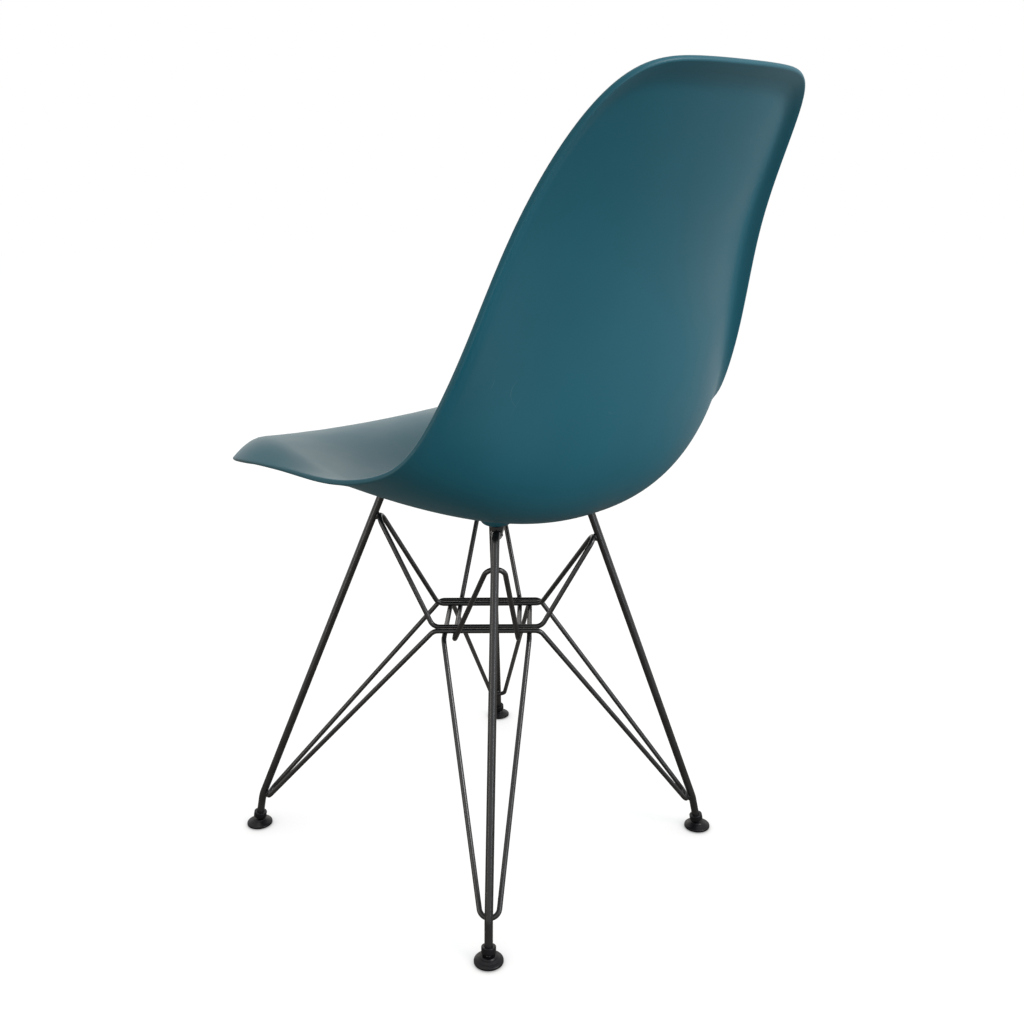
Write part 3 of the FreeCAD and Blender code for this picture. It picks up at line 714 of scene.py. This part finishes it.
steel = frame_steel()
longest_face = 0.02
flat_rings = 39
for corner in corners:
    mount, _, outward = corner_places(corner)
    low_bend, top_bend = leg_bends(corner)
    ball, foot_axis = ball_place(corner)
    press_start = top_bend - outward * press_from_bend
    stops = [ball + foot_axis * rod_end_above_ball, low_bend, top_bend, press_start]
    route = rounded_route(stops, [0, low_bend_radius, top_bend_radius, 0])
    route = evenly_filled(route, longest_face)
    sections = [(rod_radius, rod_radius, round_power)] * len(route)
    tip = mount - outward * flat_beyond_mount
    flat_length = (tip - press_start).length
    for k in range(1, flat_rings + 1):
        run = flat_length * k / flat_rings
        press = eased(run / press_length)
        half_wide = rod_radius + (flat_width / 2 - rod_radius) * press
        half_high = rod_radius + (flat_thickness / 2 - rod_radius) * press
        # The flat's tip is rounded, and its last ring keeps a little width.
        left_over = flat_length - run
        if left_over < flat_width / 2:
            rounding = 1 - (1 - left_over / (flat_width / 2)) ** 2
            half_wide *= math.sqrt(max(rounding, 0.03))
        route.append(press_start.lerp(tip, run / flat_length))
        sections.append((half_wide, half_high, round_power + (flat_power - round_power) * press))
    steady = Vector((0, 0, 1)).cross(outward)
    leg = swept_rod("leg_rod_" + corner, route, sections, steady)
    leg.data.set_sharp_from_angle(angle=math.radians(50))
    leg.data.materials.append(steel)
    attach(leg, "base")
    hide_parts("leg_" + corner)

# The cross wires: two straight steel wires under the seat, one at the front and one at the rear.
# Each is welded across the flattened rod ends of a left and a right leg.
for end in ("front", "rear"):
    centre, low, high = middle_of("cross_wire_" + end)
    radius = (high.z - low.z) / 2
    half = high.x
    chamfer = radius * 0.2
    wire_run = [(0, -half), (radius - chamfer, -half), (radius, -half + chamfer)]
    wire_run += [(radius, half * share) for share in (-0.6, -0.2, 0.2, 0.6)]
    wire_run += [(radius, half - chamfer), (radius - chamfer, half), (0, half)]
    wire = lathe_piece("under_wire_" + end, wire_run, (0, centre.y, centre.z), (1, 0, 0), around=28)
    wire.data.set_sharp_from_angle(angle=math.radians(40))
    wire.data.materials.append(steel)
    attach(wire, "base")
    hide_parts("cross_wire_" + end)

# The washers and screws: plated steel, driven up from below into the inserts.
# The screws have a button head with a hexagon socket.


def plated_steel():
    finish, tree, surface, place = new_finish("plated_steel")
    coat = placed_group(tree, coating_grain, {"Position": place, "Peel per metre": 1600.0})
    tone = mixed(tree, coat.outputs["Tone"], (0.28, 0.28, 0.29, 1), (0.40, 0.40, 0.41, 1))
    tree.links.new(tone, surface.inputs["Base Color"])
    surface.inputs["Metallic"].default_value = 1.0
    tree.links.new(remapped(tree, coat.outputs["Tone"], 0, 1, 0.28, 0.42), surface.inputs["Roughness"])
    bumped(tree, surface, coat.outputs["Height"], 0.00003, 0.3)
    return finish


plated = plated_steel()
washer_edge = 0.0003
for corner in corners:
    centre, low, high = middle_of("washer_" + corner)
    thick = high.z - low.z
    radius = (high.x - low.x) / 2
    outline = [(screw_clearance_radius, 0), (radius, 0),
               (radius, thick), (screw_clearance_radius, thick)]
    outline = softened(outline, [0, washer_edge, washer_edge, 0], 3)
    washer = lathe_piece("plain_washer_" + corner, outline, (centre.x, centre.y, low.z), around=48)
    washer.data.set_sharp_from_angle(angle=math.radians(40))
    washer.data.materials.append(plated)
    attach(washer, "base")
    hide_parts("washer_" + corner)
    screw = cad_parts["screw_" + corner]
    screw.data.materials.clear()
    screw.data.materials.append(plated)

# The brace loops: four closed loops of 5.4 mm wire, each from one leg to the opposite one.
# Level in the middle, their bars cross in a square lattice at the waist and are welded there.
# The rounded ends are welded to the inner side of the legs.
wire_radius = 0.0027
weld_sink = 0.0003
waist_height = 0.2658
waist_depth = 0.002
bar_offsets = {"upper": 0.034, "lower": 0.0455}
bar_halves = {"upper": 0.0585, "lower": 0.057}
bar_bend_radius = 0.011
loop_end_half = 0.0088
# The upper ends are welded this far below the flattened ends, and the lower ones at the low bends.
upper_weld_drops = {"front": 0.0384, "rear": 0.0324}


def weld_place(corner, layer):
    """Middle of a loop's end on the inner side of the leg."""
    mount, _, outward = corner_places(corner)
    low_bend, top_bend = leg_bends(corner)
    height = low_bend_height
    if layer == "upper":
        height = mount.z - upper_weld_drops[corner.split("_")[0]]
    leg_way = (top_bend - low_bend).normalized()
    on_leg = low_bend + leg_way * ((height - low_bend.z) / leg_way.z)
    return on_leg - outward * ((rod_radius + wire_radius - weld_sink) / leg_way.z), leg_way, outward


def brace_loop(name, first, second, layer, height):
    """One closed wire: a rounded end at each leg and two level bars between them."""
    side, end = corners[second]
    along = Vector((side, end, 0)).normalized()
    across = Vector((0, 0, 1)).cross(along)
    offset = bar_offsets[layer]
    half = bar_halves[layer]
    centre = Vector((0, waist_depth - depth_shift, height))
    ends = [weld_place(corner, layer)[0] for corner in (first, second)]
    stops = [
        ends[0] + across * loop_end_half,
        centre - along * half + across * offset,
        centre + along * half + across * offset,
        ends[1] + across * loop_end_half,
        ends[1] - across * loop_end_half,
        centre + along * half - across * offset,
        centre - along * half - across * offset,
        ends[0] - across * loop_end_half,
    ]
    # At the legs the bends are as wide as the end allows, and at the waist all are alike.
    radii = [bar_bend_radius] * 8
    for i in (0, 3, 4, 7):
        back = stops[i - 1] - stops[i]
        ahead = stops[(i + 1) % 8] - stops[i]
        radii[i] = 0.97 * loop_end_half * math.tan(back.angle(ahead) / 2)
    route = rounded_route(stops, radii)
    route = evenly_filled(route + [route[0]], longest_face)[:-1]
    sections = [(wire_radius, wire_radius, round_power)] * len(route)
    loop = swept_rod(name, route, sections, Vector((0, 0, 1)), closed=True, around=24)
    loop.data.materials.append(steel)
    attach(loop, "base")
    return loop


lower_layer = waist_height - 2 * wire_radius + weld_sink
for first, second, pair, height in (
    ("front_left", "rear_right", "left_right", waist_height),
    ("front_right", "rear_left", "right_left", lower_layer),
):
    for layer in ("upper", "lower"):
        loop = brace_loop(layer + "_wire_" + pair, first, second, layer, height)
        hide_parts(layer + "_loop_" + pair)

# The weld beads: short runs of filler steel where a loop's end meets a leg.
# Each fills the notch between the wire and the rod and is coated with them.
bead_half = 0.0046
bead_radius = 0.0030
bead_ripple = 0.00012


def weld_bead(name, corner, layer):
    wire_middle, leg_way, outward = weld_place(corner, layer)
    seam = wire_middle + outward * (wire_radius / leg_way.z)
    bead_run = [(0, -bead_half)]
    for share in np.linspace(-0.95, 0.95, 15):
        ripple = bead_ripple * math.cos(share * 22)
        bead_run.append((bead_radius * math.sqrt(1 - share ** 2) + ripple, bead_half * share))
    bead_run.append((0, bead_half))
    bead = lathe_piece(name, bead_run, seam, leg_way, around=20, closed=False)
    bead.data.materials.append(steel)
    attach(bead, "base")


for corner in corners:
    weld_bead("foot_weld_" + corner, corner, "lower")
    weld_bead("upper_weld_" + corner, corner, "upper")

# The foot glides: black nylon. A sleeve with a ball below is pressed on the rod,
# a cup snaps over the ball, and a round stepped shoe with a thin sole turns on the cup.
ball_radius = 0.0034
ball_clearance = 0.00005
neck_radius = 0.0022
sleeve_radius = 0.0073
sleeve_bottom, sleeve_top = 0.0042, 0.0110
sleeve_bore = 0.00423
cup_top = 0.0080


def glide_nylon():
    finish, tree, surface, place = new_finish("glide_nylon")
    skin = placed_group(tree, mould_texture,
                        {"Position": place, "Grain per metre": 2600.0, "Cloud per metre": 140.0})
    cloud = remapped(tree, skin.outputs["Sheen"], -1, 1, 0, 1)
    tone = mixed(tree, cloud, (0.0040, 0.0040, 0.0055, 1), (0.0085, 0.0085, 0.0105, 1))
    tree.links.new(tone, surface.inputs["Base Color"])
    surface.inputs["Specular IOR Level"].default_value = 0.22
    tree.links.new(remapped(tree, skin.outputs["Sheen"], -1, 1, 0.26, 0.40), surface.inputs["Roughness"])
    bumped(tree, surface, skin.outputs["Height"], 0.00002, 0.3)
    return finish


nylon = glide_nylon()


def arc_outline(radius, start, end, steps):
    """Points of an arc about the ball's centre, from one angle above the level to another."""
    return [(radius * math.cos(turn), radius * math.sin(turn)) for turn in np.linspace(start, end, steps)]


def sleeve_outline():
    """The ball, a thin neck, then the body with the bore for the rod, measured from the ball."""
    ball_side = arc_outline(ball_radius, -math.pi / 2, math.acos(neck_radius / ball_radius), 14)
    ball_side[0] = (0, -ball_radius)
    body = [
        (neck_radius, 0.003),
        (neck_radius, sleeve_bottom),
        (sleeve_radius, sleeve_bottom),
        (sleeve_radius, sleeve_top),
        (sleeve_bore, sleeve_top),
        (sleeve_bore, rod_end_above_ball),
        (0, rod_end_above_ball),
    ]
    return ball_side + softened(body, [0, 0.0002, 0.0009, 0.0009, 0.0004, 0, 0])[1:]


def shoe_outline():
    """From its recess for the cup's flange out to the rim, up the steps and down the bore."""
    profile = [
        (0.00665, 0.0010),
        (0.0146, 0.0010), (0.0146, 0.0034),
        (0.0118, 0.0047), (0.0112, 0.0049),
        (0.0085, 0.0066), (0.0078, 0.0067),
        (0.0066, 0.0079), (0.00565, 0.0079),
        (0.00565, 0.0030), (0.00665, 0.0030),
    ]
    return softened(profile, [0, 0.0005, 0.0012, 0.001, 0.0006, 0.001, 0.0004, 0.0005, 0.0002, 0, 0])


def cup_outline():
    """A flange that the shoe turns on, a plain wall, and the hollow for the ball."""
    outside = [
        (0, 0.00105),
        (0.0066, 0.00105), (0.0066, 0.00295),
        (0.0056, 0.00295), (0.0056, cup_top),
    ]
    hollow = ball_radius + ball_clearance
    mouth = math.asin((cup_top - ball_height) / hollow)
    inside = [(r, h + ball_height) for r, h in arc_outline(hollow, mouth, -math.pi / 2, 14)]
    inside[-1] = (0, ball_height - hollow)
    return outside + inside


sole_outline = softened([(0, 0), (0.0130, 0), (0.0130, 0.0010), (0, 0.0010)], [0, 0.0003, 0, 0])
for corner in corners:
    ball, foot_axis = ball_place(corner)
    under_ball = (ball.x, ball.y, 0)
    sleeve = lathe_piece("sleeve_" + corner, sleeve_outline(), ball, foot_axis)
    shoe = lathe_piece("shoe_" + corner, shoe_outline(), under_ball, around=96)
    cup = lathe_piece("cup_piece_" + corner, cup_outline(), under_ball)
    sole = lathe_piece("sole_" + corner, sole_outline, under_ball, around=72)
    for piece, stands_for, body_name, slot_name, finish in (
        (sleeve, "glide_sleeve_", "base", "glide_nylon", nylon),
        (shoe, "glide_shoe_", "shoe_" + corner, "glide_nylon", nylon),
        (cup, "glide_cup_", "cup_" + corner, "cup_nylon", nylon),
        (sole, "glide_sole_", "shoe_" + corner, "sole_rubber", rubber),
    ):
        piece.data.set_sharp_from_angle(angle=math.radians(40))
        piece.data.materials.append(finish)
        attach(piece, body_name)
        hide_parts(stands_for + corner)

# The studio: a white floor with a soft shade painted close around the feet, a white surround,
# soft lamps, and the camera at the photograph's viewing angle, behind the chair.
floor_half = 12
floor_level = -0.0002
floor_corners = [(x * floor_half, y * floor_half, floor_level)
                 for x, y in ((-1, -1), (1, -1), (1, 1), (-1, 1))]
floor_mesh = bpy.data.meshes.new("studio_floor")
floor_mesh.from_pydata(floor_corners, [], [(0, 1, 2, 3)])
studio_floor = bpy.data.objects.new("studio_floor", floor_mesh)
bpy.context.scene.collection.objects.link(studio_floor)


def either(tree, first, second):
    return node(tree, "ShaderNodeMath", {0: first, 1: second}, operation="MAXIMUM").outputs[0]


floor_paint = bpy.data.materials.new("floor_paint")
floor_paint.use_nodes = True
tree = floor_paint.node_tree
tree.nodes.clear()
# The light that the floor throws back on the chair is dim and a little warm.
matt = node(tree, "ShaderNodeBsdfDiffuse", {"Color": (0.20, 0.18, 0.155, 1)})
path = node(tree, "ShaderNodeLightPath")
seen = either(tree, path.outputs["Is Camera Ray"], path.outputs["Is Transmission Ray"])
# Gloss shows the white floor too, with painted shade that makes it darker near the chair.
spot = node(tree, "ShaderNodeTexCoord").outputs["Object"]
away = node(tree, "ShaderNodeVectorMath", {0: spot}, operation="LENGTH")
shaded = remapped(tree, away.outputs["Value"], 0.8, 2.7, 0.10, 0.95)
mirrored = node(tree, "ShaderNodeMath", {0: path.outputs["Is Glossy Ray"], 1: shaded},
                operation="MULTIPLY")
# Painted shade: ambient occlusion darkens the white glow softly close around each foot.
contact = node(tree, "ShaderNodeAmbientOcclusion", {"Distance": 0.11}, samples=16).outputs["AO"]
white = remapped(tree, contact, 0.4, 0.98, 0.42, 0.95)
strength = node(tree, "ShaderNodeMath", {0: seen, 1: white, 2: mirrored.outputs[0]},
                operation="MULTIPLY_ADD")
glow = node(tree, "ShaderNodeEmission", {"Color": (0.965, 0.985, 1, 1), "Strength": strength.outputs[0]})
both = node(tree, "ShaderNodeAddShader", {0: matt.outputs[0], 1: glow.outputs[0]})
node(tree, "ShaderNodeOutputMaterial", {"Surface": both.outputs[0]})
floor_mesh.materials.append(floor_paint)

surround = bpy.data.worlds.new("white_surround")
bpy.context.scene.world = surround
surround.use_nodes = True
tree = surround.node_tree
tree.nodes.clear()
path = node(tree, "ShaderNodeLightPath")
seen = either(tree, path.outputs["Is Camera Ray"], path.outputs["Is Glossy Ray"])
seen = either(tree, seen, path.outputs["Is Transmission Ray"])
# As light on the chair, the surround is dimmer than it looks.
level = remapped(tree, seen, 0, 1, 0.42, 1)
sky = node(tree, "ShaderNodeBackground", {"Color": (1, 1, 1, 1), "Strength": level})
node(tree, "ShaderNodeOutputWorld", {"Surface": sky.outputs[0]})


def soft_lamp(name, place, aim, width, power, tint, height=None):
    lamp = bpy.data.lights.new(name, "AREA")
    lamp.shape = "RECTANGLE" if height else "DISK"
    lamp.size = width
    lamp.size_y = height or width
    lamp.energy = power
    lamp.color = tint
    holder = bpy.data.objects.new(name, lamp)
    holder.location = place
    holder.rotation_euler = (Vector(aim) - Vector(place)).to_track_quat("-Z", "Y").to_euler()
    holder.visible_camera = False
    bpy.context.scene.collection.objects.link(holder)


soft_lamp("overhead_lamp", (0.1, -0.2, 2.7), (0, 0, 0.4), 1.6, 10, (1, 0.95, 0.87))
soft_lamp("front_lamp", (-1.3, -2.2, 0.9), (0, 0, 0.45), 2.0, 4.8, (1, 0.90, 0.74))
soft_lamp("side_lamp", (-0.6, 2.1, 1.9), (0, 0, 0.5), 1.1, 40, (1, 1, 1))
# Two upright strips draw the fine light lines along the rods.
soft_lamp("left_strip", (1.25, -0.05, 0.40), (0, 0, 0.30), 0.12, 2.2, (1, 0.92, 0.80), 0.8)
soft_lamp("right_strip", (0.1, 1.30, 0.40), (0, 0, 0.30), 0.12, 2.6, (0.82, 0.90, 1), 0.8)

camera = bpy.data.objects.new("photo_camera", bpy.data.cameras.new("photo_camera"))
camera.data.sensor_width = 36
camera.data.lens = 38.635
camera.data.clip_end = 60
camera.location = (0.762516, 0.824568, 0.726585)
camera.rotation_euler = (1.278058, 0.013918, 2.376739)
bpy.context.scene.collection.objects.link(camera)
bpy.context.scene.camera = camera
bpy.context.scene.view_settings.view_transform = "Standard"
